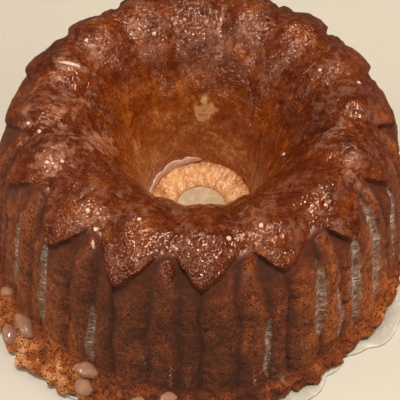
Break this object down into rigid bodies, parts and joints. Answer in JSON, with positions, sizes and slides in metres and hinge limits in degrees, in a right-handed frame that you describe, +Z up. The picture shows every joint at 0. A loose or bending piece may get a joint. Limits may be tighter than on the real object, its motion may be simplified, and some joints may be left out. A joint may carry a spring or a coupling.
{
  "type": "fluted ring cake",
  "caption": "Whole glazed ring cake with pointed flutes, grooved walls, a funnel-shaped hole and a ragged baked lip round its foot.",
  "frame": {"origin": "middle of the cake's bounding box, at the surface that the cake stands on", "axes": "+Z up, -Y towards the side that faces the viewer, +X to the viewer's right"},
  "size_m": [0.2482, 0.2506, 0.0965],
  "materials": {
    "crust": "dark baked crust, glossy with thin sugar glaze on top, matte and porous on the wall"
  },
  "bodies": {
    "root": {"cake": "crust"}
  },
  "joints": []
}
